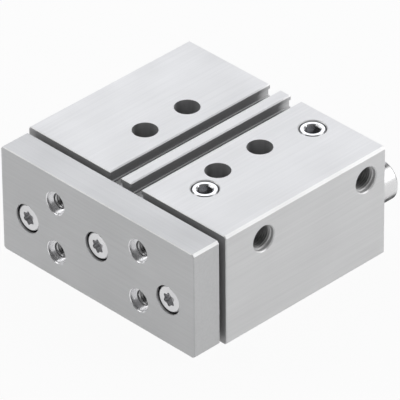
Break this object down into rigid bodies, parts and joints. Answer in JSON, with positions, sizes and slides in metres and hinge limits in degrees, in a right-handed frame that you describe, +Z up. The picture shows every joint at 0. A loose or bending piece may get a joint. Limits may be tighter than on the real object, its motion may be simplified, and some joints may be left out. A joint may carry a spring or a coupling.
{
  "type": "guided pneumatic cylinder",
  "caption": "Compact guided air cylinder: flat T-slotted aluminium housing, a yoke plate on a piston rod between guide rods, side air ports, plugged upper ports.",
  "frame": {"origin": "centre of the four mounting holes, in the plane of the underside", "axes": "+Z up out of the top with the sensor slots; +Y from the yoke plate to the rear end, so the yoke slides out along -Y; +X to the side with the air ports"},
  "size_m": [0.095, 0.103, 0.044],
  "materials": {
    "anodised_body": "fine brushed, clear anodised",
    "anodised_plate": "fine brushed, clear anodised",
    "turned_aluminium": "turned",
    "ground_steel": "ground and chromed",
    "zinc_steel": "zinc plated",
    "spring_steel": "phosphated",
    "bearing_bronze": "plain bearing",
    "black_rubber": "matte",
    "guide_band": "filled polymer",
    "magnet": "plastic-bonded magnet"
  },
  "bodies": {
    "housing": {"housing": "anodised_body", "port_plugs": "zinc_steel", "front_bearing_cap": "turned_aluminium", "front_cap_o_ring": "black_rubber", "front_retaining_ring": "spring_steel", "rod_bush": "bearing_bronze", "rod_seal": "black_rubber", "front_cushion": "black_rubber", "rear_cap": "turned_aluminium", "rear_cap_o_ring": "black_rubber", "rear_retaining_ring": "spring_steel", "rear_cushion": "black_rubber", "guide_bush_front_left": "bearing_bronze", "guide_bush_front_right": "bearing_bronze", "guide_bush_rear_left": "bearing_bronze", "guide_bush_rear_right": "bearing_bronze", "guide_wiper_left": "black_rubber", "guide_wiper_right": "black_rubber"},
    "yoke": {"yoke_plate": "anodised_plate", "yoke_screws": "zinc_steel", "piston_rod": "ground_steel", "guide_rod_left": "ground_steel", "guide_rod_right": "ground_steel", "piston": "turned_aluminium", "piston_seals": "black_rubber", "piston_guide_ring": "guide_band", "piston_magnet": "magnet", "piston_nut": "zinc_steel"}
  },
  "joints": [
    {"name": "yoke_slide", "type": "slide", "parent": "housing", "child": "yoke", "axis": [0, -1, 0], "range_m": [0, 0.025]}
  ]
}
